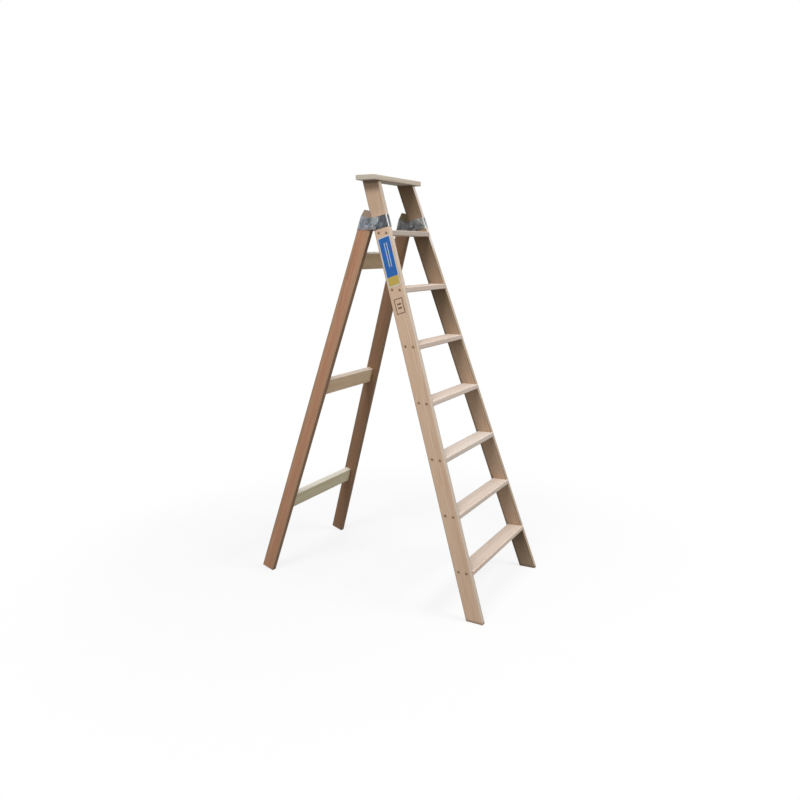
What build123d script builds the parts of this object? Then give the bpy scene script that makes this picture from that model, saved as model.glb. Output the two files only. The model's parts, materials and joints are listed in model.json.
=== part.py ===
from build123d import *
import os
from math import atan, cos, degrees, radians, sin, tan

os.makedirs("parts", exist_ok=True)

# Folding wooden stepladder in millimetres. Treads are housed between two leaning stiles under a
# top board, and two rear legs, joined by rails, fold on cranked straps against the stiles.
# +Z is up, the climbing side faces -Y, and the origin is on the floor in the footprint's middle.

# Stance
front_lean = 18.2
rear_lean = 17.4
front_half_width = 368.0
top_half_width = 175.0
rear_half_width = 342.0

# Treads
tread_count = 7
tread_rise = 250.0
first_tread_height = 235.5
tread_depth = 82.0
tread_thickness = 24.0
tread_nose = 8.5
tread_nose_radius = 4.0
housing_depth = 8.0
housing_clearance = 0.2

# Stiles and legs
stile_thickness = 25.0
stile_width = 80.0
leg_thickness = 25.0
leg_width = 69.0
arris_radius = 2.0

# Top board
top_board_gap = 218.0
top_board_thickness = 22.0
top_board_depth = 97.0
top_board_front = 9.5
top_board_end = 50.0

# Rear rails
rail_count = 3
rail_pitch = 640.0
strap_rail_gap = 116.0
rail_height = 77.0
rail_thickness = 30.0
rail_setback = 10.0
tenon_length = 15.0
tenon_thickness = 12.0
tenon_height = 50.0
tenon_clearance = 0.1

# Hinge: the pivot lies in the stile, and a strap on the leg straddles the banded stile
pivot_over_tread = 49.5
pivot_inset = 13.0
leg_standoff = 14.2
leg_head = 44.5
leg_head_taper = 14.0
stop_gap = 0.3
band_thickness = 1.5
band_rise = 28.5
band_tilt = 4.7
band_screw_gap = 11.7
band_tread_gap = 0.5
band_margin = 4.0
strap_thickness = 2.0
strap_rise = 13.5
strap_drop = 33.0
strap_rear_rise = 14.0
strap_rear_drop = 51.0
strap_nose = 13.0
strap_ear_drop = 30.0
ear_front = 18.5
ear_rear = 32.0
ear_rise = 30.0
ear_drop = 25.0
ear_corner = 4.0
strap_side_gap = 1.8
strap_crank_start = 13.0
strap_crank_end = 6.5

# Pivot hardware
bolt_radius = 4.0
bolt_head_radius = 9.0
bolt_head_height = 4.5
bolt_tail = 3.0
bolt_fit = 0.05
pivot_fit = 0.08
washer_radius = 9.0
washer_thickness = 1.6
washer_gap = 0.2
nut_width = 13.0
nut_height = 6.5

# Wood screws, their domed heads rounded and their tips tapered by these shares
screw_radius = 2.2
screw_fit = 0.05
head_dome = 0.8
tip_taper = 2.0
tip_blunt = 0.33
screw_head_radius = 4.2
screw_head_height = 1.4
tread_screw_length = 58.0
tread_screw_front = 22.0
tread_screw_rear = 62.0
board_screw_length = 62.0
board_screw_front = 18.0
board_screw_rear = 46.0
countersink_depth = 3.5
strap_screw_radius = 1.8
strap_screw_length = 13.0
strap_screw_head_radius = 3.6
strap_screw_head_height = 1.0
strap_screw_shift = 8.0
band_screw_places = (15.0, 38.0)
leg_screw_places = (20.0, 48.0)

# Label
label_width = 66.0
label_screw_gap = 7.7
label_thickness = 0.4
label_corner = 4.0

# Worked out from the stance
lean_sin = sin(radians(front_lean))
lean_cos = cos(radians(front_lean))
top_tread_height = first_tread_height + (tread_count - 1) * tread_rise
board_underside = top_tread_height + top_board_gap
front_splay = degrees(atan((front_half_width - top_half_width) * lean_cos / board_underside))
splay_cos = cos(radians(front_splay))
reach = 2.0 * board_underside

pivot_n = stile_width - pivot_inset
pivot_slant = top_tread_height / lean_cos + pivot_over_tread
pivot_y_from_foot = pivot_n * lean_cos + pivot_slant * lean_sin
pivot_z = pivot_slant * lean_cos - pivot_n * lean_sin
pivot_x = front_half_width - pivot_slant * tan(radians(front_splay)) - stile_thickness / 2 / splay_cos

rear_sin = sin(radians(rear_lean))
rear_cos = cos(radians(rear_lean))
foot_w = -(pivot_z + leg_standoff * rear_sin) / rear_cos
rear_splay = degrees(atan((rear_half_width - leg_thickness / 2 - pivot_x) / -foot_w))
rear_reach = pivot_y_from_foot + (leg_standoff + leg_width) * rear_cos - foot_w * rear_sin
footprint_middle = rear_reach / 2
pivot_y = pivot_y_from_foot - footprint_middle

# Frames of the right-hand pieces: the leaning front, its stile, the leaning rear and its leg
front_frame = Pos(0, -footprint_middle, 0) * Rot(-front_lean, 0, 0)
stile_frame = front_frame * Pos(front_half_width, 0, 0) * Rot(0, -front_splay, 0)
rear_frame = Pos(0, pivot_y, pivot_z) * Rot(rear_lean, 0, 0)
leg_frame = rear_frame * Pos(pivot_x, 0, 0) * Rot(0, -rear_splay, 0)

# Cylinders and cones stand on their placed point
seated = (Align.CENTER, Align.CENTER, Align.MIN)


def left_of(shape):
    return mirror(shape, about=Plane.YZ)


def write(name, *solids):
    shape = solids[0] if len(solids) == 1 else Compound(children=list(solids))
    export_step(shape, f"parts/{name}.step")


def write_pair(name, *solids):
    write(f"{name}_right", *solids)
    write(f"{name}_left", *[left_of(solid) for solid in solids])


def board(thickness, width, length):
    """Planed board with eased edges, along +Z, its outer face at x = 0 and front edge at y = 0."""
    section = Pos(-thickness / 2, width / 2) * RectangleRounded(thickness, width, arris_radius)
    return extrude(section, amount=length)


def inside_of(frame, depth):
    """Everything between the two sides, up to x = depth in the right-hand frame."""
    side = frame * Pos(depth - reach / 2, 0, 0) * Box(reach, 2 * reach, 2 * reach)
    return side & left_of(side)


def wood_screw(radius, length, head_radius, head_height):
    """Round-headed screw pointing down -Z, its head seated on z = 0."""
    taper = tip_taper * radius
    shank = Pos(0, 0, taper - length) * Cylinder(radius, length - taper, align=seated)
    tip = Pos(0, 0, -length) * Cone(tip_blunt * radius, radius, taper, align=seated)
    head = Cylinder(head_radius, head_height, align=seated)
    head = fillet(head.edges().group_by(Axis.Z)[-1], head_height * head_dome)
    return shank + tip + head


def screw_hole(radius, length):
    return Pos(0, 0, -length) * Cylinder(radius + screw_fit, 2 * length, align=seated)


def tread_place(number):
    """Top front edge of a tread, counted from the top."""
    height = top_tread_height - (number - 1) * tread_rise
    front = height * tan(radians(front_lean)) - tread_nose - footprint_middle
    return Pos(0, front, height)


def tread_section_bar(clearance):
    size = (reach, tread_depth + 2 * clearance, tread_thickness + 2 * clearance)
    return Pos(0, tread_depth / 2, -tread_thickness / 2) * Box(*size)


def tread_screw_level(number, setback):
    """Where a tread's screw sits along the stile."""
    middle = top_tread_height - (number - 1) * tread_rise - tread_thickness / 2
    return (middle / lean_cos + setback * lean_sin) / splay_cos


def tread_screw_frames(number):
    """Seats of a tread's two screws on the right stile's outer face."""
    frames = []
    for setback in (tread_screw_front, tread_screw_rear):
        level = tread_screw_level(number, setback)
        frames.append(stile_frame * Pos(0, setback * lean_cos, level) * Rot(0, 90, 0))
    return frames


tread_numbers = range(1, tread_count + 1)
screw_frames = {number: tread_screw_frames(number) for number in tread_numbers}
tread_zone = inside_of(stile_frame, housing_depth - stile_thickness)
tread_drill = screw_hole(screw_radius, tread_screw_length)

# Pivot line through both sides, across X
strap_face = stile_thickness / 2 + band_thickness + strap_side_gap
strap_outer = (strap_face + strap_thickness) / cos(radians(rear_splay))
washer_seat = strap_outer + washer_radius * tan(radians(rear_splay)) + washer_gap
pivot_frame = Pos(pivot_x, pivot_y, pivot_z) * Rot(0, 90, 0)
drill_length = 4 * washer_seat
bolt_drill = pivot_frame * Cylinder(bolt_radius + bolt_fit, drill_length)
strap_drill = pivot_frame * Cylinder(bolt_radius + pivot_fit, drill_length)

# Fixings of the stile band and the leg strap, on both faces of the board
band_level = pivot_slant / splay_cos
band_screws = []
for place in band_screw_places:
    outer = Pos(band_thickness, place, band_level + strap_screw_shift) * Rot(0, 90, 0)
    inner = Pos(-stile_thickness - band_thickness, place, band_level - strap_screw_shift) * Rot(0, -90, 0)
    band_screws += [stile_frame * outer, stile_frame * inner]
strap_level = (strap_rise - strap_drop) / 2
leg_screws = []
for place in leg_screw_places:
    outer = Pos(leg_thickness / 2 + strap_thickness, leg_standoff + place, strap_level + strap_screw_shift)
    inner = Pos(-leg_thickness / 2 - strap_thickness, leg_standoff + place, strap_level - strap_screw_shift)
    leg_screws += [leg_frame * outer * Rot(0, 90, 0), leg_frame * inner * Rot(0, -90, 0)]
strap_screw = wood_screw(strap_screw_radius, strap_screw_length, strap_screw_head_radius,
                         strap_screw_head_height)
strap_screw_drill = screw_hole(strap_screw_radius, strap_screw_length)

# Top board and its screws
board_front = board_underside * tan(radians(front_lean)) - footprint_middle
board_half_length = top_half_width + top_board_end
board_top = board_underside + top_board_thickness
board_size = (2 * board_half_length, top_board_depth, top_board_thickness)
board_middle_y = board_front - top_board_front + top_board_depth / 2
board_middle = (0, board_middle_y, board_underside + top_board_thickness / 2)
board_screw_x = top_half_width - stile_thickness / 2 / splay_cos
board_screw_places = []
for side in (-1, 1):
    for setback in (board_screw_front, board_screw_rear):
        board_screw_places.append(Pos(side * board_screw_x, board_front + setback, board_top))
countersunk = Pos(0, 0, -board_screw_length) * Cylinder(screw_radius, board_screw_length, align=seated)
countersunk += Pos(0, 0, -countersink_depth) * Cone(
    screw_radius, screw_head_radius, countersink_depth, align=seated)
board_drill = screw_hole(screw_radius, board_screw_length)
board_drill += Pos(0, 0, -countersink_depth) * Cone(
    screw_radius + screw_fit, screw_head_radius + screw_fit, countersink_depth, align=seated)

top_board = Pos(*board_middle) * Box(*board_size)
top_board = fillet(top_board.edges(), arris_radius)
for place in board_screw_places:
    top_board -= place * board_drill
write("top_board", top_board)
write("top_board_screws", *[place * countersunk for place in board_screw_places])

# Treads
for number in tread_numbers:
    bar = tread_section_bar(0)
    front_edges = bar.edges().filter_by(Axis.X).group_by(Axis.Y)[0]
    bar = fillet(front_edges, tread_nose_radius)
    rear_edges = bar.edges().filter_by(Axis.X).group_by(Axis.Y)[-1]
    bar = fillet(rear_edges, arris_radius)
    tread = (tread_place(number) * bar) & tread_zone
    for frame in screw_frames[number]:
        hole = frame * tread_drill
        tread -= hole
        tread -= left_of(hole)
    write(f"tread_{number}", tread)

# Stiles, cut level at the floor and under the top board
upright = Pos(0, 0, board_underside / 2) * Box(reach, reach, board_underside)
stile = stile_frame * Pos(0, 0, -stile_width) * board(stile_thickness, stile_width, reach)
stile &= upright
for number in tread_numbers:
    stile -= (tread_place(number) * tread_section_bar(housing_clearance)) & tread_zone
    for frame in screw_frames[number]:
        stile -= frame * tread_drill
for place in board_screw_places:
    stile -= place * board_drill
for frame in band_screws:
    stile -= frame * strap_screw_drill
stile -= bolt_drill
write_pair("front_stile", stile)

tread_screw = wood_screw(screw_radius, tread_screw_length, screw_head_radius, screw_head_height)
all_screw_frames = sum(screw_frames.values(), [])
write_pair("tread_screws", *[frame * tread_screw for frame in all_screw_frames])

# Sheet bands wrapped round the stiles at the pivot, a little out of square, above the top tread's
# screws and clear of that tread inside
band_outside = RectangleRounded(stile_thickness + 2 * band_thickness, stile_width + 2 * band_thickness,
                                arris_radius + band_thickness)
band_section = band_outside - RectangleRounded(stile_thickness, stile_width, arris_radius)
band_section = Pos(-stile_thickness / 2, stile_width / 2) * band_section
band_section -= Pos(-stile_thickness / 2, stile_width - band_margin) * Rectangle(
    reach, stile_width, align=(Align.CENTER, Align.MIN))
band_foot = tread_screw_level(1, tread_screw_rear) + screw_head_radius + band_screw_gap
band_height = band_level + band_rise - band_foot
band_cut = Rot(band_tilt, 0, 0) * Box(reach, reach, band_height)
band_cut = Pos(0, stile_width / 2, band_foot + band_height / 2) * band_cut
band = stile_frame * (extrude(band_section, amount=reach) & band_cut)
over_tread = Pos(0, 0, top_tread_height + band_tread_gap - reach / 2) * Box(reach, reach, reach)
inner_side = stile_frame * Pos(housing_depth - stile_thickness - reach / 2, 0, 0)
inner_side = inner_side * Box(reach, 2 * reach, 2 * reach)
band -= over_tread & inner_side
for frame in band_screws:
    band -= frame * strap_screw_drill
band -= bolt_drill
write_pair("stile_band", band)
write_pair("stile_band_screws", *[frame * strap_screw for frame in band_screws])

# Rear legs: square feet standing on their front edge, heads bevelled to stop on the stiles and
# tapered behind
leg_span = Pos(0, 0, (foot_w + leg_head) / 2) * Box(reach, reach, leg_head - foot_w)
leg_stock = board(leg_thickness, leg_width, leg_head - foot_w + 2 * leg_width)
leg = Pos(leg_thickness / 2, leg_standoff, foot_w - leg_width) * leg_stock
leg = (leg_frame * leg) & (rear_frame * leg_span)
leg -= front_frame * Pos(0, stile_width + stop_gap - reach / 2, 0) * Box(reach, reach, 2 * reach)
head_cut = Rot(leg_head_taper, 0, 0) * Box(reach, reach, reach, align=(Align.CENTER, Align.MIN, Align.MIN))
leg -= leg_frame * Pos(0, leg_standoff + leg_width, strap_rear_rise) * head_cut

# Rails square to the legs, tenoned into their inner faces
rail_v = leg_standoff + leg_width - rail_setback - rail_thickness / 2
rail_zone = inside_of(leg_frame, -leg_thickness / 2)
tenon_zone = inside_of(leg_frame, tenon_length - leg_thickness / 2)
mortise_zone = inside_of(leg_frame, tenon_length + tenon_clearance - leg_thickness / 2)
rail_names = ("upper", "middle", "lower")
for index, rail_name in zip(range(rail_count), rail_names):
    level = -strap_drop - strap_rail_gap - rail_height / 2 - index * rail_pitch
    rail_middle = rear_frame * Pos(0, rail_v, level)
    bar = Box(reach, rail_thickness, rail_height)
    bar = fillet(bar.edges().filter_by(Axis.X), arris_radius)
    rail = (rail_middle * bar) & rail_zone
    rail += (rail_middle * Box(reach, tenon_thickness, tenon_height)) & tenon_zone
    mortise = Box(reach, tenon_thickness + 2 * tenon_clearance, tenon_height + 2 * tenon_clearance)
    leg -= (rail_middle * mortise) & mortise_zone
    write(f"rear_rail_{rail_name}", rail)
for frame in leg_screws:
    leg -= frame * strap_screw_drill
write_pair("rear_leg", leg)

# Cranked straps wrapped round the leg heads, their ears on the pivot bolts, the outer ears square
# plates that stand level on the open ladder
ear_width = strap_face - leg_thickness / 2
crank_start = leg_standoff + strap_crank_start
crank_end = leg_standoff + strap_crank_end
wrap = RectangleRounded(leg_thickness + 2 * strap_thickness, leg_width + 2 * strap_thickness,
                        arris_radius + strap_thickness)
wrap -= RectangleRounded(leg_thickness, leg_width, arris_radius)
wrap = Pos(0, leg_standoff + leg_width / 2) * wrap
wrap -= Pos(0, crank_start) * Rectangle(reach, reach, align=(Align.CENTER, Align.MAX))
leg_face = leg_thickness / 2
ear_points = [(leg_face, crank_start), (strap_face, crank_end), (strap_face, -strap_nose),
              (strap_face + strap_thickness, -strap_nose), (strap_face + strap_thickness, crank_end),
              (leg_face + strap_thickness, crank_start)]
ear = make_face(Polyline(*ear_points, close=True))
strap_section = wrap + ear + mirror(ear, about=Plane.YZ)
strap = Pos(0, 0, -reach / 2) * extrude(strap_section, amount=reach)
strap_rear = leg_standoff + leg_width + strap_thickness
wrap_points = [(leg_standoff, strap_rise), (strap_rear, strap_rear_rise), (strap_rear, -strap_rear_drop),
               (leg_standoff, -strap_drop)]
wrap_outline = make_face(Polyline(*wrap_points, close=True))
inner_root = Line((leg_standoff, -strap_ear_drop), (leg_standoff, strap_rise)).edge()
inner_outline = make_hull(Circle(strap_nose).edges() + [inner_root]) + wrap_outline
ear_plate = RectangleRounded(ear_front + ear_rear, ear_rise + ear_drop, ear_corner)
ear_plate = Pos((ear_rear - ear_front) / 2, (ear_rise - ear_drop) / 2) * ear_plate
outer_outline = Rot(0, 0, -rear_lean) * ear_plate + wrap_outline
strap &= extrude(Plane.YZ * outer_outline, amount=reach) + extrude(Plane.YZ * inner_outline, amount=-reach)
strap = leg_frame * strap
for frame in leg_screws:
    strap -= frame * strap_screw_drill
strap -= strap_drill
write_pair("hinge_strap", strap)
write_pair("hinge_strap_screws", *[frame * strap_screw for frame in leg_screws])

# Pivot bolt with its head outside, washers under head and nut
head_seat = washer_seat + washer_thickness
tail = head_seat + nut_height + bolt_tail
bolt_head = Pos(0, 0, head_seat) * Cylinder(bolt_head_radius, bolt_head_height, align=seated)
bolt_head = fillet(bolt_head.edges().group_by(Axis.Z)[-1], bolt_head_height * head_dome)
shank = Pos(0, 0, -tail) * Cylinder(bolt_radius, tail + head_seat, align=seated)
write_pair("hinge_bolt", pivot_frame * (bolt_head + shank))

washer = Cylinder(washer_radius, washer_thickness) - Cylinder(bolt_radius + bolt_fit, washer_thickness)
washer_middle = washer_seat + washer_thickness / 2
write_pair("hinge_washers", pivot_frame * Pos(0, 0, washer_middle) * washer,
           pivot_frame * Pos(0, 0, -washer_middle) * washer)

nut_outline = RegularPolygon(nut_width / 2, 6, major_radius=False)
nut = extrude(nut_outline - Circle(bolt_radius + bolt_fit), amount=nut_height)
nut = Pos(0, 0, -head_seat - nut_height) * nut
write_pair("hinge_nut", pivot_frame * nut)

# Label on the left stile's outer face, between the screws of the two highest treads
label_top = tread_screw_level(1, tread_screw_front) - screw_head_radius - label_screw_gap
label_foot = tread_screw_level(2, tread_screw_rear) + screw_head_radius + label_screw_gap
label = RectangleRounded(label_width, label_top - label_foot, label_corner)
label = Plane.YZ.location * extrude(label, amount=label_thickness)
label = stile_frame * Pos(0, stile_width / 2, (label_top + label_foot) / 2) * label
write("side_label", left_of(label))

print("pivot", round(pivot_y, 3), round(pivot_z, 3), "fold", round(front_lean + rear_lean, 3))
print("footprint", 2 * front_half_width, round(2 * footprint_middle, 3), "height", board_top)
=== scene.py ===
import json
from math import atan, cos, degrees, radians, sin, tan

import bpy
from mathutils import Euler, Matrix, Vector


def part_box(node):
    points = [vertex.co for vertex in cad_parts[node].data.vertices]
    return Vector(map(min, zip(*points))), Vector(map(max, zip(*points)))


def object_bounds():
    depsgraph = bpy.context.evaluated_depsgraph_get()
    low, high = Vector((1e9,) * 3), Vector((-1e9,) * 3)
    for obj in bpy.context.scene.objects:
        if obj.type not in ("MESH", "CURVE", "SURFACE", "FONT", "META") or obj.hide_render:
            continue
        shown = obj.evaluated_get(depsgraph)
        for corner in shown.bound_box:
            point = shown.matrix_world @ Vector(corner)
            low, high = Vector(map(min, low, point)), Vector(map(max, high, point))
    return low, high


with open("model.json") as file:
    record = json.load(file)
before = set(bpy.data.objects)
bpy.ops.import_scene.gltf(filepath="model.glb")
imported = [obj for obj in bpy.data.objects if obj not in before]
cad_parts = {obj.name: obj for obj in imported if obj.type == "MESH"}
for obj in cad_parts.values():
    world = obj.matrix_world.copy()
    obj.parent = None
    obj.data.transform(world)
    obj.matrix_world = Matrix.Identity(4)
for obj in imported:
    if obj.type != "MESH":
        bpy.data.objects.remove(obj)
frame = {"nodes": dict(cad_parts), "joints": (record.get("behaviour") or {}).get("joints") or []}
nodes = frame["nodes"]
cad_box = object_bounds()

# Stance of the ladder in metres and degrees, as in its CAD model
FRONT_LEAN = 18.2
REAR_LEAN = 17.4
FRONT_HALF_WIDTH = 0.368
TOP_HALF_WIDTH = 0.175
STILE_THICKNESS = 0.025
STILE_WIDTH = 0.080
LEG_THICKNESS = 0.025
LEG_WIDTH = 0.069
LEG_STANDOFF = 0.0142
LEG_REAR = LEG_STANDOFF + LEG_WIDTH
SHEET = 0.0015
TREAD_COUNT = 7
TREAD_RISE = 0.25
SCREW_SETBACKS = (0.022, 0.062)
RAILS = ("upper", "middle", "lower")
SIDES = ("left", "right")

# Camera at the photograph's viewing angle
CAMERA_PLACE = (-3.2097, -1.7980, 1.6518)
CAMERA_PITCH = -14.517
CAMERA_YAW = -61.655
CAMERA_LENS = 33.41
CAMERA_SENSOR = 36.0
CAMERA_SHIFT = (-0.0121, 0.0520)
CAMERA_RANGE = 200.0

# Light: name, place, size in metres and power in watts of each lamp
LAMPS = (("side_lamp", (-3.5, 0.0, 5.1), 2.0, 112.0),
         ("front_lamp", (0.3, -3.9, 4.8), 2.4, 163.0))
LAMP_TARGET = (0, 0, 0.9)
AMBIENT_COLOUR = (0.96, 0.98, 1.0, 1.0)
AMBIENT_STRENGTH = 0.42

# Floor: its size and drop below the feet, how it bounces light, and how it looks. The glow is the
# share of its own white near the object, and over the clear distances it turns all white.
FLOOR_SIZE = 60.0
FLOOR_DROP = 0.0002
FLOOR_BOUNCE = 0.32
FLOOR_PALE = 0.92
FLOOR_GLOW = 0.8
FLOOR_CLEAR = (0.9, 2.2)

# Tones are written from 0 to 255. Woods: light, middle, dark, and the broad streaks
STILE_TONES = ((241, 212, 185), (232, 197, 166), (200, 161, 129), (220, 180, 148))
TREAD_TONES = ((232, 214, 198), (222, 201, 184), (188, 164, 144), (210, 184, 166))
BOARD_TONES = ((214, 202, 184), (198, 185, 167), (153, 140, 123), (182, 168, 150))
LEG_TONES = ((211, 165, 132), (196, 145, 112), (150, 103, 76), (180, 119, 89))
RAIL_TONES = ((228, 210, 184), (216, 192, 160), (174, 147, 115), (202, 173, 139))

# How treads, from the top one down, and rails differ from each other
BLEACHED = (240, 234, 226)
TREAD_BLEACH = (0.0, 0.0, 0.05, 0.18, 0.4, 0.2, 0.05)
TREAD_NOSE_GRIME = (0.60, 0.32, 0.26, 0.18, 0.32, 0.24, 0.05)
RAIL_TINTS = {"upper": (0.96, 0.94, 0.90), "middle": (0.98, 0.955, 0.93), "lower": (1.02, 1.08, 1.07)}
RAIL_TOPS = {"upper": (226, 228, 224), "middle": (226, 218, 207), "lower": (246, 242, 234)}

# Grain of the woods: features per metre across, across and along a board, detail and roughness
GRAINS = {
    "wander": ((30, 30, 1.3), 3.0, 0.5),
    "broad": ((38, 38, 1.1), 4.0, 0.55),
    "fine": ((190, 190, 5), 3.0, 0.6),
    "fibre": ((900, 900, 16), 2.0, 0.6),
    "scuff": ((60, 60, 9), 4.0, 0.65),
    "blotch": ((22, 22, 7), 5.0, 0.6),
    "paper": ((70, 70, 30), 4.0, 0.6),
}
RING_WIDTH = 0.0035
RING_WANDER = 0.02
RING_LEAN = 0.012
LATE_WOOD = (0.35, 0.95)
LATE_SHARE = 0.45
FINE_RANGE = (0.30, 0.72)
BROAD_RANGE = (0.46, 0.72)
BROAD_SHARE = 0.75
PORES = (0.60, 0.72, 0.0, 0.35)
RUBBED_WIDTH = (0.001, 0.006)
RUBBED_RANGE = (0.38, 0.62)
BLOTCHES = (0.56, 0.78, 0.0, 0.30)
WOOD_ROUGHNESS = (0.2, 0.8, 0.62, 0.82)
WOOD_GLOSS = 0.3
FIBRE_HEIGHT = 0.6
RING_HEIGHT = 0.4
WOOD_RELIEF = (0.35, 0.0004)
HEART_SWAY = 0.03
HEART_NOISE = (2.4, 2.0)

# Dirt, wear, grain, painted shade and a paler rail top: where in metres the share is whole, where it is
# gone, the share, and the tone
FOOT_DIRT = (0.003, 0.016, 0.5, (88, 76, 60))
SCREW_HALO = (0.003, 0.011, 0.45, (104, 78, 58))
# Painted shade on the stiles high up, under the top board
UNDER_BOARD_SHADE = (1.95, 1.88, 0.3, (140, 116, 90))
LEG_FLANKS = (0.030, 0.012, 0.40, (176, 150, 118))
LEG_HEART = (0.003, 0.018, 0.28, (198, 132, 100))
# Painted shade on the legs' front edges, which face down and forward
LEG_FRONT_SHADE = (LEG_STANDOFF + 0.0012, LEG_STANDOFF + 0.003, 0.65, (92, 72, 54))
LEG_HEAD = (0.02, 0.0, 0.5, (126, 143, 139))
# Paler towards the top of the upper rail's front face
UPPER_RAIL_HEAD = (-0.0024, -0.028, 0.28, (236, 224, 204))
STRAP_RUST = (-0.026, -0.010, 0.55, (138, 122, 112))

# Shares and tones of the darker lines along arrises, some of them painted shade, of the painted shade
# inside the boards, and of the grime on the tread noses
STILE_ARRIS = (0.6, (112, 98, 78))
TREAD_REAR_ARRIS = (0.55, (140, 132, 124))
TREAD_NOSE_SHADE_LINE = (0.5, (120, 110, 98))
LEG_ARRIS = (0.5, (104, 90, 70))
LEG_INSIDE_SHADE = (0.55, (114, 94, 70))
STILE_INSIDE_SHADE_TONE = (112, 92, 66)
REAR_MARGIN_SHADE_TONE = (84, 72, 52)
TREAD_NOSE_TONE = (150, 144, 136)
ARRIS_WIDTH = (0.0015, 0.0045)
INSIDE_DEPTH = (0.0006, 0.0018)

# Edges that have a look of their own
STILE_EDGE_DEPTH = (0.0012, 0.0024)
STILE_EDGE_SHARE = 0.65
STILE_EDGE_TONES = {"right": (156, 144, 126), "left": (188, 181, 170)}
PALE_EDGE = (1.70, 1.80)
PALE_EDGE_TONE = (238, 226, 220)
REAR_MARGIN = (STILE_WIDTH - 0.014, STILE_WIDTH - 0.004)
REAR_MARGIN_SHARE = 0.5
TREAD_NOSE_DEPTH = (0.0008, 0.003)
LEG_HEAD_INSIDE = (0.0, 0.02, 0.0, 0.8)
LEG_HEAD_INSIDE_TONE = (122, 107, 68)
RAIL_TOP_DEPTH = (-0.0012, -0.0024)
RAIL_TOP_SHARE = 0.6
UPPER_RAIL_FOOT_RISE = 0.035
UPPER_RAIL_FOOT = (0.3, (120, 104, 84))

# Top board: the painted shade it throws on the stiles below it, painted shade on its front foot, and its
# pale ends
BOARD_SHADE_DROP = (0.002, 0.018)
BOARD_SHADE_SIDE = (-0.012, -0.010)
BOARD_SHADE_SHARE = 0.55
BOARD_SHADE_TONE = (62, 46, 34)
BOARD_FRONT_DEPTH = (0.002, 0.004)
BOARD_FOOT_SHADE_RISE = 0.014
BOARD_FOOT_SHADE_SHARE = 0.4
BOARD_FOOT_SHADE_TONE = (132, 114, 96)
BOARD_END_DEPTH = (0.001, 0.0025)
BOARD_END = (0.4, (236, 228, 208))

# Painted shade inside a stile: heights along it and shares at the foot and in the upper bays
FOOT_INSIDE_SHADE = (0.22, 0.28, 0.76, 0.44)
BAY_INSIDE_SHADE = (1.20, 1.40, 0.44, 0.73)
TREAD_SHADE = (0.1, 1.0, 0.75, 1.25)

# Mark burnt into the left stile
MARK_SLANT = 1.49
MARK_HALF = (0.022, 0.035)
MARK_LINE = 0.004
MARK_BAR_HALF = (0.010, 0.003)
MARK_BAR_OFFSET = 0.009
MARK_SOFT = 0.0012
MARK_DEPTH = (-0.004, -0.001)
MARK_SHARE = 0.85
MARK_TONE = (62, 42, 32)

# Galvanised sheet: dark and light spangle and the oxide, and the parts of the strap that differ
BAND_TONES = {"right": ((126, 128, 128), (180, 183, 182), (84, 84, 84)),
              "left": ((82, 87, 93), (117, 122, 128), (50, 53, 58))}
STRAP_TONES = {"right": ((92, 91, 91), (126, 125, 124), (62, 60, 61)),
               "left": ((112, 117, 125), (161, 166, 174), (72, 75, 80))}
# Painted highlight along the bends of the sheet: its share on bands and on straps, and its tone
BAND_BEND_HIGHLIGHT = 0.7
STRAP_BEND_HIGHLIGHT = 0.3
BEND_HIGHLIGHT_TONE = (208, 207, 199)
BEND_WIDTH = (0.002, 0.007)
SPANGLE_SCALE = 62.0
SPANGLE_WARP = 0.03
WARP_NOISE = (60.0, 3.0)
OXIDE_NOISE = (30.0, 5.0, 0.6)
OXIDE = (0.42, 0.64, 0.0, 0.75)
HIGHLIGHT_BREAKUP_NOISE = (120.0, 3.0)
HIGHLIGHT_BREAKUP_RANGE = (0.3, 0.6)
SHEET_METALLIC = 0.75
SHEET_ROUGHNESS = (0.0, 1.0, 0.38, 0.56)
SHEET_RELIEF = (0.10, 0.0005)
STRAP_OUTSIDE = (0.010, 0.012)
EAR_PLATE = (0.016, 0.032, 0.5, 0.0)
EAR_PLATE_FOOT = (-0.020, 0.0, 0.5, 1.0)
EAR_PLATE_TONE = (166, 172, 170)
EAR_MARGIN = (-0.0175, -0.0110, 0.6, 0.0)
EAR_MARGIN_TONE = (192, 198, 200)
STRAP_DARK_SPOTS = ((0.041, -0.0134), (0.018, -0.0085))
DARK_SPOT = (0.002, 0.008, 0.65, 0.0)
DARK_SPOT_TONE = (58, 58, 72)

# Steel of bolts and screws: bright and dull tone, middle roughness and metallic share
PIVOT_STEEL = ((158, 162, 165), (112, 115, 119), 0.48, 0.75)
WOOD_SCREW_STEEL = ((134, 108, 86), (94, 73, 57), 0.62, 0.4)
SHEET_SCREW_STEEL = ((112, 114, 118), (72, 74, 78), 0.5, 0.7)
MOTTLE_NOISE = (320.0, 4.0, 0.65)
MOTTLE_RANGE = (0.35, 0.68)
MOTTLE_GLOSS = (0.3, 0.7)
STEEL_ROUGHNESS = (-0.1, 0.15)
STEEL_RELIEF = (0.2, 0.0002)

# Sticker on the left stile
LABEL_RIM = 0.004
LABEL_SOFT = 0.0006
LABEL_FOOT = (0.045, 0.0445)
LABEL_LINES = (-0.008, 0.004)
LABEL_LINE_HALF = (0.0015, 0.055)
LABEL_LINE_RISE = 0.03
LABEL_BLUES = ((14, 94, 174), (28, 110, 188))
LABEL_LINE_TONE = (214, 222, 226)
LABEL_FOOT_TONE = (206, 176, 84)
LABEL_RIM_TONE = (222, 226, 224)
LABEL_FADING = (0.35, 0.7)
LABEL_ROUGHNESS = (0.3, 0.7, 0.32, 0.5)
LABEL_RELIEF = (0.08, 0.0004)

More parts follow.
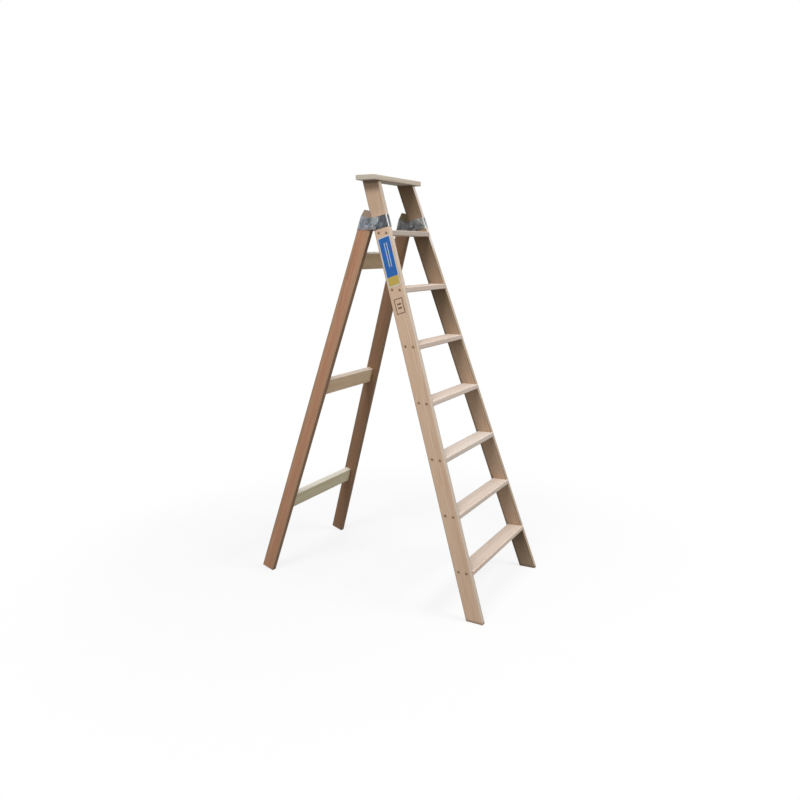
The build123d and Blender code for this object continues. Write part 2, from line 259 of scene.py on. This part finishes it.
# Worked out from the stance
depth_middle = (cad_box[1].y - cad_box[0].y) / 2
board_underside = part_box("top_board")[0].z
stile_drift = FRONT_HALF_WIDTH - TOP_HALF_WIDTH
front_splay = degrees(atan(stile_drift * cos(radians(FRONT_LEAN)) / board_underside))
pivot = Vector(frame["joints"][0]["pos_m"])


def turn(angle, axis):
    return Matrix.Rotation(radians(angle), 4, axis)


def shift(x, y, z):
    return Matrix.Translation((x, y, z))


# Frames of the right-hand boards: x across the thickness, y across the width, z along the board
front_foot = shift(0, -depth_middle, 0) @ turn(-FRONT_LEAN, "X")
stile_frame = front_foot @ shift(FRONT_HALF_WIDTH, 0, 0) @ turn(-front_splay, "Y")
leg_foot_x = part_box("rear_leg_right")[1].x - LEG_THICKNESS / 2
pivot_x = sum(corner.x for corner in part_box("hinge_washers_right")) / 2
rear_splay = degrees(atan((leg_foot_x - pivot_x) / (pivot.z / cos(radians(REAR_LEAN)))))
rear_frame = shift(0, pivot.y, pivot.z) @ turn(REAR_LEAN, "X")
leg_frame = rear_frame @ shift(pivot_x, 0, 0) @ turn(-rear_splay, "Y")
MIRROR = Matrix.Scale(-1, 4, (1, 0, 0))
ALONG_X = Matrix(((0, 0, 1, 0), (1, 0, 0, 0), (0, 1, 0, 0), (0, 0, 0, 1)))
HANDS = {"right": Matrix(), "left": MIRROR}


def extent(name, placement):
    """Low and high corners of a node, measured in a frame of its own."""
    away = placement.inverted()
    corners = [away @ vertex.co for vertex in nodes[name].data.vertices]
    low = Vector([min(corner[axis] for corner in corners) for axis in range(3)])
    high = Vector([max(corner[axis] for corner in corners) for axis in range(3)])
    return low, high


def lying_board(low, high, base=Matrix()):
    """Frame and edges of a board across the ladder: x back from its front, y up from its top face."""
    placement = base @ shift(0, low.y, high.z) @ ALONG_X
    return placement, (0.0, high.y - low.y, low.z - high.z, 0.0)


def srgb(red, green, blue):
    """A colour written as 0 to 255, as the linear values that a shader takes."""
    values = [v / 255 for v in (red, green, blue)]
    linear = [v / 12.92 if v <= 0.04045 else ((v + 0.055) / 1.055) ** 2.4 for v in values]
    return (*linear, 1.0)


class Tree:
    """A node tree, and one method for each kind of node that is used."""

    def __init__(self, tree):
        self.tree = tree

    def node(self, kind, **settings):
        made = self.tree.nodes.new(kind)
        for key, value in settings.items():
            setattr(made, key, value)
        return made

    def feed(self, socket, value):
        if isinstance(value, bpy.types.NodeSocket):
            self.tree.links.new(value, socket)
        else:
            socket.default_value = value

    def feed_all(self, made, values):
        for socket, value in zip(made.inputs, values):
            self.feed(socket, value)
        return made.outputs[0]

    def math(self, operation, *values, clamp=False):
        return self.feed_all(self.node("ShaderNodeMath", operation=operation, use_clamp=clamp), values)

    def fade(self, value, start, end, low=0.0, high=1.0):
        """Goes smoothly from low to high as the value goes from start to end."""
        made = self.node("ShaderNodeMapRange", interpolation_type="SMOOTHSTEP")
        return self.feed_all(made, (value, start, end, low, high))

    def blend(self, factor, first, second):
        """One surface or light laid over another."""
        return self.feed_all(self.node("ShaderNodeMixShader"), (factor, first, second))

    def place(self):
        """Coordinates on the object, in metres."""
        return self.node("ShaderNodeTexCoord").outputs["Object"]

    def seen_directly(self):
        """1 for what the camera sees, straight, in a gloss or through glass."""
        path = self.node("ShaderNodeLightPath").outputs
        seen = self.math("MAXIMUM", path["Is Camera Ray"], path["Is Glossy Ray"])
        return self.math("MAXIMUM", seen, path["Is Transmission Ray"])


class Shader(Tree):
    """A material, its colour so far, and the axes of the board that it is on."""

    def __init__(self, name):
        self.material = bpy.data.materials.new(name)
        self.material.use_nodes = True
        super().__init__(self.material.node_tree)
        self.surface = self.tree.nodes["Principled BSDF"]
        self.colour = None
        self.axes = ()

    def mix(self, factor, first, second):
        made = self.node("ShaderNodeMix", data_type="RGBA")
        for index, value in ((0, factor), (6, first), (7, second)):
            self.feed(made.inputs[index], value)
        return made.outputs[2]

    def paint(self, colour):
        self.colour = colour
        self.feed(self.surface.inputs["Base Color"], colour)

    def overlay(self, factor, tone):
        """Lays one more tone over the colour so far."""
        self.paint(self.mix(factor, self.colour, srgb(*tone)))

    def soil(self, value, start, end, share, tone):
        """Lays a tone over the colour, its whole share at the start and none at the end."""
        self.overlay(self.fade(value, start, end, share, 0.0), tone)

    def board_space(self, placement):
        """Coordinates in a board's own frame, in metres, kept as the axes too."""
        away = placement.inverted()
        flip = away.determinant() < 0
        if flip:
            away = away @ MIRROR
        mapping = self.node("ShaderNodeMapping", vector_type="POINT")
        mapping.inputs["Location"].default_value = away.translation
        mapping.inputs["Rotation"].default_value = away.to_euler()
        mapping.inputs["Scale"].default_value = (-1 if flip else 1, 1, 1)
        self.feed(mapping.inputs["Vector"], self.place())
        self.axes = tuple(self.split(mapping.outputs[0]))
        return mapping.outputs[0]

    def split(self, vector):
        made = self.node("ShaderNodeSeparateXYZ")
        self.feed(made.inputs[0], vector)
        return made.outputs

    def stretch(self, vector, scale, offset):
        return self.feed_all(self.node("ShaderNodeVectorMath", operation="MULTIPLY_ADD"),
                             (vector, scale, offset))

    def noise(self, vector, scale, detail, roughness=0.5):
        made = self.node("ShaderNodeTexNoise")
        self.feed(made.inputs["Vector"], vector)
        for key, value in (("Scale", scale), ("Detail", detail), ("Roughness", roughness)):
            made.inputs[key].default_value = value
        return made.outputs[0]

    def grain(self, board, kind, offset=(0, 0, 0)):
        """One of the noises that are drawn out along a board."""
        scale, detail, roughness = GRAINS[kind]
        return self.noise(self.stretch(board, scale, offset), 1.0, detail, roughness)

    def crystals(self, vector, scale):
        """A number of its own for each of many cells."""
        made = self.node("ShaderNodeTexVoronoi")
        self.feed(made.inputs["Vector"], vector)
        made.inputs["Scale"].default_value = scale
        return self.split(made.outputs["Color"])[0]

    def gap(self, value, place):
        """Distance from a place along one axis."""
        return self.math("ABSOLUTE", self.math("SUBTRACT", value, place))

    def corner_gap(self, corner):
        """Distance from a corner of the board's section, along the axis where it is larger."""
        return self.math("MAXIMUM", *[self.gap(axis, place) for axis, place in zip(self.axes, corner)])

    def diagonal(self, first, second):
        squares = [self.math("POWER", offset, 2.0) for offset in (first, second)]
        return self.math("SQRT", self.math("ADD", *squares))

    def near(self, value, centre, half, soft):
        """1 within half of the centre, fading to 0 over the soft width."""
        return self.fade(self.gap(value, centre), half, half + soft, 1.0, 0.0)

    def patch(self, centre, half, soft):
        """1 on a rectangle across and along the board, and 0 beyond its soft border."""
        sides = [self.near(axis, middle, size, soft)
                 for axis, middle, size in zip(self.axes[1:], centre, half)]
        return self.math("MULTIPLY", *sides)

    def relief(self, height, strength, distance):
        made = self.node("ShaderNodeBump")
        made.inputs["Strength"].default_value = strength
        made.inputs["Distance"].default_value = distance
        self.feed(made.inputs["Height"], height)
        self.feed(self.surface.inputs["Normal"], made.outputs[0])

    def dress(self, *names):
        for name in names:
            slots = nodes[name].data.materials
            slots.clear()
            slots.append(self.material)


def wood(name, placement, edges, tones, seed, pith=(-0.05, 0.02), streaks=1.0, worn=0.5):
    """Planed board: growth rings round a pith beside it, long streaks, pores, and rubbed edges.

    edges are the two limits across the thickness and the two across the width; tones are the light,
    middle and dark colours, and the colour of the broad streaks.
    """
    light, middle, dark, streak = tones
    shader = Shader(name)
    board = shader.board_space(placement)
    x, y, z = shader.axes

    wander = shader.grain(board, "wander", (seed, 0, seed))
    drift = shader.math("MULTIPLY", shader.math("SUBTRACT", wander, 0.5), RING_WANDER)
    lean = shader.math("MULTIPLY", z, RING_LEAN)
    across = shader.math("SUBTRACT", shader.math("ADD", x, drift), pith[0])
    beside = shader.math("SUBTRACT", shader.math("ADD", y, lean), pith[1])
    radius = shader.diagonal(across, beside)
    late = shader.fade(shader.math("FRACT", shader.math("DIVIDE", radius, RING_WIDTH)), *LATE_WOOD)
    broad = shader.grain(board, "broad", (0, seed, 0))
    fine = shader.grain(board, "fine", (seed, seed, 0))
    fibre = shader.grain(board, "fibre", (0, 0, seed))
    scuff = shader.grain(board, "scuff", (seed, 0, 0))
    blotch = shader.grain(board, "blotch", (seed, seed, seed))

    shader.paint(shader.mix(shader.fade(fine, *FINE_RANGE), srgb(*middle), srgb(*light)))
    shader.overlay(shader.math("MULTIPLY", late, LATE_SHARE), dark)
    shader.overlay(shader.fade(broad, *BROAD_RANGE, 0.0, BROAD_SHARE * streaks), streak)
    shader.overlay(shader.fade(fibre, *PORES), dark)

    gaps = [shader.math("MINIMUM", *[shader.gap(axis, limit) for limit in limits])
            for axis, limits in ((x, edges[:2]), (y, edges[2:]))]
    arris = shader.fade(shader.math("MAXIMUM", *gaps), *RUBBED_WIDTH, 1.0, 0.0)
    rubbed = shader.math("MULTIPLY", arris, shader.fade(scuff, *RUBBED_RANGE))
    shader.overlay(shader.math("MULTIPLY", rubbed, worn), light)
    shader.overlay(shader.fade(blotch, *BLOTCHES), dark)

    shader.feed(shader.surface.inputs["Roughness"], shader.fade(fine, *WOOD_ROUGHNESS))
    shader.surface.inputs["Specular IOR Level"].default_value = WOOD_GLOSS
    height = shader.math("ADD", shader.math("MULTIPLY", fibre, FIBRE_HEIGHT),
                         shader.math("MULTIPLY", late, RING_HEIGHT))
    shader.relief(height, *WOOD_RELIEF)
    return shader


def darken_inside(shader, face, share, tone):
    """A darker tone on a board's inner face."""
    inside = shader.fade(shader.axes[0], *[face + depth for depth in INSIDE_DEPTH], 1.0, 0.0)
    shader.overlay(shader.math("MULTIPLY", inside, share), tone)


def darken_arris(shader, corner, share, tone):
    """Darker line along one long edge of a board."""
    shader.soil(shader.corner_gap(corner), *ARRIS_WIDTH, share, tone)


def soiled_foot(shader):
    """Floor dirt on the lowest stretch of a board."""
    shader.soil(shader.split(shader.place())[2], *FOOT_DIRT)


def tread_count_up(shader):
    """Height along a stile in treads, a whole number at the middle of each tread."""
    y, z = shader.axes[1:]
    lean = radians(FRONT_LEAN)
    level = shader.math("SUBTRACT", shader.math("MULTIPLY", z, cos(radians(front_splay))),
                        shader.math("MULTIPLY", y, tan(lean)))
    lowest = sum(corner.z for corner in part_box(f"tread_{TREAD_COUNT}")) / 2 / cos(lean)
    return shader.math("DIVIDE", shader.math("SUBTRACT", level, lowest), TREAD_RISE / cos(lean))


def inner_shade(shader):
    """Share of painted shade inside a stile: most at the foot and the top, and under each tread."""
    height = shader.axes[2]
    share = shader.math("MAXIMUM", shader.fade(height, *FOOT_INSIDE_SHADE), shader.fade(height, *BAY_INSIDE_SHADE))
    up_from_tread = shader.math("FRACT", tread_count_up(shader))
    return shader.math("MULTIPLY", share, shader.fade(up_from_tread, *TREAD_SHADE), clamp=True)


def board_shade(shader):
    """Shade on a stile's outer face, close under the top board."""
    levels = [board_underside - drop for drop in BOARD_SHADE_DROP]
    shade = shader.fade(shader.split(shader.place())[2], *levels, BOARD_SHADE_SHARE, 0.0)
    outside = shader.fade(shader.axes[0], *BOARD_SHADE_SIDE)
    shader.overlay(shader.math("MULTIPLY", shade, outside), BOARD_SHADE_TONE)


def tread_stains(shader):
    """Dark halo round the two screws at each tread end."""
    lean = radians(FRONT_LEAN)
    count = shader.math("ADD", tread_count_up(shader), 0.5)
    away = shader.math("SUBTRACT", shader.math("FRACT", count), 0.5)
    along = shader.math("MULTIPLY", away, TREAD_RISE / cos(lean))
    columns = [shader.gap(shader.axes[1], setback * cos(lean)) for setback in SCREW_SETBACKS]
    shader.soil(shader.diagonal(along, shader.math("MINIMUM", *columns)), *SCREW_HALO)


def burnt_mark(shader):
    """Plain frame with two bars, branded into the wood."""
    middle_y, middle_z = STILE_WIDTH / 2, MARK_SLANT / cos(radians(front_splay))
    outside = shader.patch((middle_y, middle_z), MARK_HALF, MARK_SOFT)
    inside = shader.patch((middle_y, middle_z), [half - MARK_LINE for half in MARK_HALF], MARK_SOFT)
    mark = shader.math("SUBTRACT", outside, inside, clamp=True)
    for offset in (-MARK_BAR_OFFSET, MARK_BAR_OFFSET):
        bar = shader.patch((middle_y, middle_z + offset), MARK_BAR_HALF, MARK_SOFT)
        mark = shader.math("MAXIMUM", mark, bar)
    mark = shader.math("MULTIPLY", mark, shader.fade(shader.axes[0], *MARK_DEPTH))
    shader.overlay(shader.math("MULTIPLY", mark, MARK_SHARE), MARK_TONE)


# Stiles
STILE_EDGES = (-STILE_THICKNESS, 0.0, 0.0, STILE_WIDTH)
for side, seed in (("right", 3.0), ("left", 11.0)):
    stile_wood = wood(f"stile_wood_{side}", HANDS[side] @ stile_frame, STILE_EDGES, STILE_TONES, seed,
                      streaks=0.7)
    across, along = stile_wood.axes[1:]
    front_edge = stile_wood.fade(across, *STILE_EDGE_DEPTH, STILE_EDGE_SHARE, 0.0)
    stile_wood.overlay(front_edge, STILE_EDGE_TONES[side])
    if side == "right":
        pale_head = stile_wood.fade(along, *PALE_EDGE)
        stile_wood.overlay(stile_wood.math("MULTIPLY", front_edge, pale_head), PALE_EDGE_TONE)
    # painted shade high up on the stile, under the top board
    stile_wood.soil(along, *UNDER_BOARD_SHADE)
    board_shade(stile_wood)
    # painted shade inside the stile, deepest under each tread and high up
    darken_inside(stile_wood, -STILE_THICKNESS, inner_shade(stile_wood), STILE_INSIDE_SHADE_TONE)
    # painted shade along the rear margin of the stile's inner face
    rear_margin_shade = stile_wood.fade(across, *REAR_MARGIN, 0.0, REAR_MARGIN_SHARE)
    darken_inside(stile_wood, -STILE_THICKNESS, rear_margin_shade, REAR_MARGIN_SHADE_TONE)
    # darker lines along the outer rear and inner front arrises: partly painted shade on the rounded
    # arrises, partly wear
    for corner in ((0.0, STILE_WIDTH), (-STILE_THICKNESS, 0.0)):
        darken_arris(stile_wood, corner, *STILE_ARRIS)
    soiled_foot(stile_wood)
    tread_stains(stile_wood)
    if side == "left":
        burnt_mark(stile_wood)
    stile_wood.dress(f"front_stile_{side}")

# Treads
for number in range(1, TREAD_COUNT + 1):
    placement, edges = lying_board(*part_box(f"tread_{number}"))
    bleach = TREAD_BLEACH[number - 1]
    tones = [[own + (pale - own) * bleach for own, pale in zip(tone, BLEACHED)] for tone in TREAD_TONES]
    tread_wood = wood(f"tread_wood_{number}", placement, edges, tones, 2.0 + 5.3 * number,
                      pith=(0.04 - 0.013 * number, -0.03 - 0.004 * number), worn=0.6)
    tread_wood.soil(tread_wood.axes[0], *TREAD_NOSE_DEPTH, TREAD_NOSE_GRIME[number - 1], TREAD_NOSE_TONE)
    darken_arris(tread_wood, (edges[1], 0.0), *TREAD_REAR_ARRIS)
    # painted shade line along the lower arris of the tread's front
    darken_arris(tread_wood, (0.0, edges[2]), *TREAD_NOSE_SHADE_LINE)
    tread_wood.dress(f"tread_{number}")

# Top board, with painted shade low down on its front, and its ends pale
low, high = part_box("top_board")
placement, edges = lying_board(low, high)
board_wood = wood("board_wood", placement, edges, BOARD_TONES, 40.0, pith=(0.05, -0.06), worn=0.35)
back, up, aside = board_wood.axes
# painted shade low down on the board's front face
foot = board_wood.fade(up, edges[2], edges[2] + BOARD_FOOT_SHADE_RISE, BOARD_FOOT_SHADE_SHARE, 0.0)
front = board_wood.fade(back, *BOARD_FRONT_DEPTH, 1.0, 0.0)
board_wood.overlay(board_wood.math("MULTIPLY", foot, front), BOARD_FOOT_SHADE_TONE)
end_depths = [high.x - depth for depth in BOARD_END_DEPTH]
board_wood.soil(board_wood.math("ABSOLUTE", aside), *end_depths, *BOARD_END)
board_wood.dress("top_board")


def leg_grain(shader):
    """Reddish heart that sways down the middle of a leg, paler and greyer at its two sides."""
    line = shader.node("ShaderNodeCombineXYZ")
    shader.feed(line.inputs["Z"], shader.axes[2])
    wander = shader.math("SUBTRACT", shader.noise(line.outputs[0], *HEART_NOISE), 0.5)
    middle = shader.math("ADD", shader.math("MULTIPLY", wander, HEART_SWAY), LEG_STANDOFF + LEG_WIDTH / 2)
    aside = shader.gap(shader.axes[1], middle)
    shader.soil(aside, *LEG_FLANKS)
    shader.soil(aside, *LEG_HEART)


# Rear legs
LEG_EDGES = (-LEG_THICKNESS / 2, LEG_THICKNESS / 2, LEG_STANDOFF, LEG_REAR)
for side, seed in (("right", 21.0), ("left", 29.0)):
    leg_wood = wood(f"leg_wood_{side}", HANDS[side] @ leg_frame, LEG_EDGES, LEG_TONES, seed,
                    pith=(-0.06, 0.07))
    leg_grain(leg_wood)
    # painted shade on the leg's inner face
    darken_inside(leg_wood, -LEG_THICKNESS / 2, *LEG_INSIDE_SHADE)
    # painted shade on the leg's front edge
    leg_wood.soil(leg_wood.axes[1], *LEG_FRONT_SHADE)
    leg_wood.soil(leg_wood.axes[2], *LEG_HEAD)
    head_inside = leg_wood.fade(leg_wood.axes[2], *LEG_HEAD_INSIDE)
    darken_inside(leg_wood, -LEG_THICKNESS / 2, head_inside, LEG_HEAD_INSIDE_TONE)
    darken_arris(leg_wood, (LEG_THICKNESS / 2, LEG_REAR), *LEG_ARRIS)
    soiled_foot(leg_wood)
    leg_wood.dress(f"rear_leg_{side}")

# Rails
for number, name in enumerate(RAILS):
    placement, edges = lying_board(*extent(f"rear_rail_{name}", rear_frame), rear_frame)
    tones = [[own * tint for own, tint in zip(tone, RAIL_TINTS[name])] for tone in RAIL_TONES]
    rail_wood = wood(f"rail_wood_{name}", placement, edges, tones, 50.0 + 7.0 * number, pith=(-0.04, 0.02))
    up = rail_wood.axes[1]
    if name == "upper":
        rail_wood.soil(up, *UPPER_RAIL_HEAD)
        rail_wood.soil(up, edges[2], edges[2] + UPPER_RAIL_FOOT_RISE, *UPPER_RAIL_FOOT)
    rail_wood.soil(up, *RAIL_TOP_DEPTH, RAIL_TOP_SHARE, RAIL_TOPS[name])
    rail_wood.dress(f"rear_rail_{name}")


def galvanised(name, placement, bends, tones, highlight):
    """Hot-dipped sheet: broad soft spangle, dull oxide blotches, and a painted highlight along the bends.

    bends are the places of the bends in the frame's x and y, tones are the dark and light spangle and
    the oxide, and highlight is how strong the painted highlight along the bends is.
    """
    low, high, dull = tones
    shader = Shader(name)
    place = shader.board_space(placement)
    warp = shader.noise(place, *WARP_NOISE)
    facet = shader.crystals(shader.stretch(warp, (SPANGLE_WARP,) * 3, place), SPANGLE_SCALE)
    shader.paint(shader.mix(facet, srgb(*low), srgb(*high)))
    shader.overlay(shader.fade(shader.noise(place, *OXIDE_NOISE), *OXIDE), dull)
    # painted highlight along the bends, broken up by noise
    bend_gap = shader.math("MINIMUM", *[shader.corner_gap(bend) for bend in bends])
    scuff = shader.fade(shader.noise(place, *HIGHLIGHT_BREAKUP_NOISE), *HIGHLIGHT_BREAKUP_RANGE, 0.5 * highlight, highlight)
    rubbed = shader.math("MULTIPLY", shader.fade(bend_gap, *BEND_WIDTH, 1.0, 0.0), scuff)
    shader.overlay(rubbed, BEND_HIGHLIGHT_TONE)
    shader.surface.inputs["Metallic"].default_value = SHEET_METALLIC
    shader.feed(shader.surface.inputs["Roughness"], shader.fade(facet, *SHEET_ROUGHNESS))
    shader.relief(facet, *SHEET_RELIEF)
    return shader


def weathered_strap(shader):
    """Rubbed ear plate, two dark spots, and rusty dirt along the strap's lower edge."""
    x, y, z = shader.axes
    lean = radians(REAR_LEAN)
    back = shader.math("SUBTRACT", shader.math("MULTIPLY", y, cos(lean)),
                       shader.math("MULTIPLY", z, sin(lean)))
    height = shader.math("ADD", shader.math("MULTIPLY", y, sin(lean)),
                         shader.math("MULTIPLY", z, cos(lean)))
    outside = shader.fade(x, *STRAP_OUTSIDE)
    plate = shader.math("MULTIPLY", shader.fade(back, *EAR_PLATE), outside)
    shader.overlay(shader.math("MULTIPLY", plate, shader.fade(height, *EAR_PLATE_FOOT)), EAR_PLATE_TONE)
    shader.overlay(shader.math("MULTIPLY", shader.fade(back, *EAR_MARGIN), outside), EAR_MARGIN_TONE)
    # two dark spots on the strap's outer face
    for spot_y, spot_z in STRAP_DARK_SPOTS:
        distance = shader.diagonal(shader.math("SUBTRACT", y, spot_y), shader.math("SUBTRACT", z, spot_z))
        shader.overlay(shader.math("MULTIPLY", shader.fade(distance, *DARK_SPOT), outside), DARK_SPOT_TONE)
    shader.soil(height, *STRAP_RUST)


def steel(name, bright, dull, roughness, metallic):
    """Plain steel with a mottled finish."""
    shader = Shader(name)
    mottle = shader.noise(shader.place(), *MOTTLE_NOISE)
    shader.paint(shader.mix(shader.fade(mottle, *MOTTLE_RANGE), srgb(*bright), srgb(*dull)))
    shader.surface.inputs["Metallic"].default_value = metallic
    rough = [roughness + change for change in STEEL_ROUGHNESS]
    shader.feed(shader.surface.inputs["Roughness"], shader.fade(mottle, *MOTTLE_GLOSS, *rough))
    shader.relief(mottle, *STEEL_RELIEF)
    return shader


def both(*names):
    return [f"{name}_{side}" for name in names for side in SIDES]


# Sheet metal and fasteners
BAND_BENDS = ((SHEET, -SHEET), (-STILE_THICKNESS - SHEET, -SHEET))
STRAP_BENDS = ((-LEG_THICKNESS / 2, LEG_REAR), (LEG_THICKNESS / 2, LEG_REAR))
for side, hand in HANDS.items():
    band_sheet = galvanised(f"band_sheet_{side}", hand @ stile_frame, BAND_BENDS, BAND_TONES[side],
                            BAND_BEND_HIGHLIGHT)
    band_sheet.dress(f"stile_band_{side}")
    strap_sheet = galvanised(f"strap_sheet_{side}", hand @ leg_frame, STRAP_BENDS, STRAP_TONES[side],
                             STRAP_BEND_HIGHLIGHT)
    weathered_strap(strap_sheet)
    strap_sheet.dress(f"hinge_strap_{side}")
steel("pivot_steel", *PIVOT_STEEL).dress(*both("hinge_bolt", "hinge_nut", "hinge_washers"))
steel("wood_screw_steel", *WOOD_SCREW_STEEL).dress("top_board_screws", *both("tread_screws"))
steel("sheet_screw_steel", *SHEET_SCREW_STEEL).dress(*both("stile_band_screws", "hinge_strap_screws"))


def label():
    """Plain printed sticker: blue field, pale rim, an ochre foot and two thin pale lines."""
    shader = Shader("label_print")
    placement = MIRROR @ stile_frame
    board = shader.board_space(placement)
    low, high = extent("side_label", placement)
    middle_y, middle_z = (low.y + high.y) / 2, (low.z + high.z) / 2
    half = ((high.y - low.y) / 2 - LABEL_RIM, (high.z - low.z) / 2 - LABEL_RIM)
    field = shader.patch((middle_y, middle_z), half, LABEL_SOFT)
    foot = shader.fade(shader.axes[2], *[low.z + rise for rise in LABEL_FOOT])
    lines = [shader.patch((middle_y + offset, middle_z + LABEL_LINE_RISE), LABEL_LINE_HALF, LABEL_SOFT)
             for offset in LABEL_LINES]
    age = shader.grain(board, "paper")
    blue = shader.mix(shader.fade(age, *LABEL_FADING), *[srgb(*tone) for tone in LABEL_BLUES])
    printed = shader.mix(shader.math("MAXIMUM", *lines), blue, srgb(*LABEL_LINE_TONE))
    printed = shader.mix(foot, printed, srgb(*LABEL_FOOT_TONE))
    shader.paint(shader.mix(field, srgb(*LABEL_RIM_TONE), printed))
    shader.feed(shader.surface.inputs["Roughness"], shader.fade(age, *LABEL_ROUGHNESS))
    shader.relief(age, *LABEL_RELIEF)
    return shader


label().dress("side_label")


# Stage: pale floor, white surroundings, and two large lamps above, one at the side and one in front
def make_world():
    world = bpy.data.worlds.new("studio")
    world.use_nodes = True
    bpy.context.scene.world = world
    studio = Tree(world.node_tree)
    ambient = studio.tree.nodes["Background"]
    ambient.inputs["Color"].default_value = AMBIENT_COLOUR
    ambient.inputs["Strength"].default_value = AMBIENT_STRENGTH
    white = studio.node("ShaderNodeBackground")
    white.inputs["Color"].default_value = (1.0, 1.0, 1.0, 1.0)
    white.inputs["Strength"].default_value = 1.0
    seen = studio.blend(studio.seen_directly(), ambient.outputs[0], white.outputs[0])
    studio.feed(studio.tree.nodes["World Output"].inputs["Surface"], seen)


def make_floor():
    """Pale floor: white with the object's shadow to the camera, duller as a source of bounced light."""
    half = FLOOR_SIZE / 2
    corners = [(-half, -half, 0), (half, -half, 0), (half, half, 0), (-half, half, 0)]
    mesh = bpy.data.meshes.new("floor")
    mesh.from_pydata(corners, [], [(0, 1, 2, 3)])
    floor = bpy.data.objects.new("floor", mesh)
    bpy.context.scene.collection.objects.link(floor)
    floor.location.z = -FLOOR_DROP
    shader = Shader("floor")
    mesh.materials.append(shader.material)
    shader.surface.inputs["Base Color"].default_value = (FLOOR_BOUNCE, FLOOR_BOUNCE, FLOOR_BOUNCE, 1.0)
    shader.surface.inputs["Roughness"].default_value = 1.0
    shader.surface.inputs["Specular IOR Level"].default_value = 0.0
    pale = shader.node("ShaderNodeBsdfDiffuse")
    pale.inputs["Color"].default_value = (FLOOR_PALE, FLOOR_PALE, FLOOR_PALE, 1.0)
    white = shader.node("ShaderNodeEmission")
    white.inputs["Strength"].default_value = 1.0
    distance = shader.node("ShaderNodeVectorMath", operation="LENGTH")
    shader.feed(distance.inputs[0], shader.place())
    whiten = shader.fade(distance.outputs["Value"], *FLOOR_CLEAR, FLOOR_GLOW, 1.0)
    seen = shader.blend(whiten, pale.outputs[0], white.outputs[0])
    seen = shader.blend(shader.seen_directly(), shader.surface.outputs[0], seen)
    shader.feed(shader.tree.nodes["Material Output"].inputs["Surface"], seen)


def make_lamp(name, place, size, power):
    lamp = bpy.data.lights.new(name, "AREA")
    lamp.shape = "DISK"
    lamp.size = size
    lamp.energy = power
    holder = bpy.data.objects.new(name, lamp)
    bpy.context.scene.collection.objects.link(holder)
    holder.location = place
    holder.rotation_euler = (Vector(LAMP_TARGET) - Vector(place)).to_track_quat("-Z", "Y").to_euler()


def make_camera():
    camera = bpy.data.cameras.new("camera")
    camera.sensor_fit = "HORIZONTAL"
    camera.sensor_width = CAMERA_SENSOR
    camera.lens = CAMERA_LENS
    camera.shift_x, camera.shift_y = CAMERA_SHIFT
    camera.clip_end = CAMERA_RANGE
    eye = bpy.data.objects.new("camera", camera)
    bpy.context.scene.collection.objects.link(eye)
    eye.location = CAMERA_PLACE
    eye.rotation_euler = Euler((radians(90 + CAMERA_PITCH), 0, radians(CAMERA_YAW)))
    bpy.context.scene.camera = eye


make_world()
make_floor()
for lamp in LAMPS:
    make_lamp(*lamp)
make_camera()
bpy.context.scene.view_settings.view_transform = "Standard"
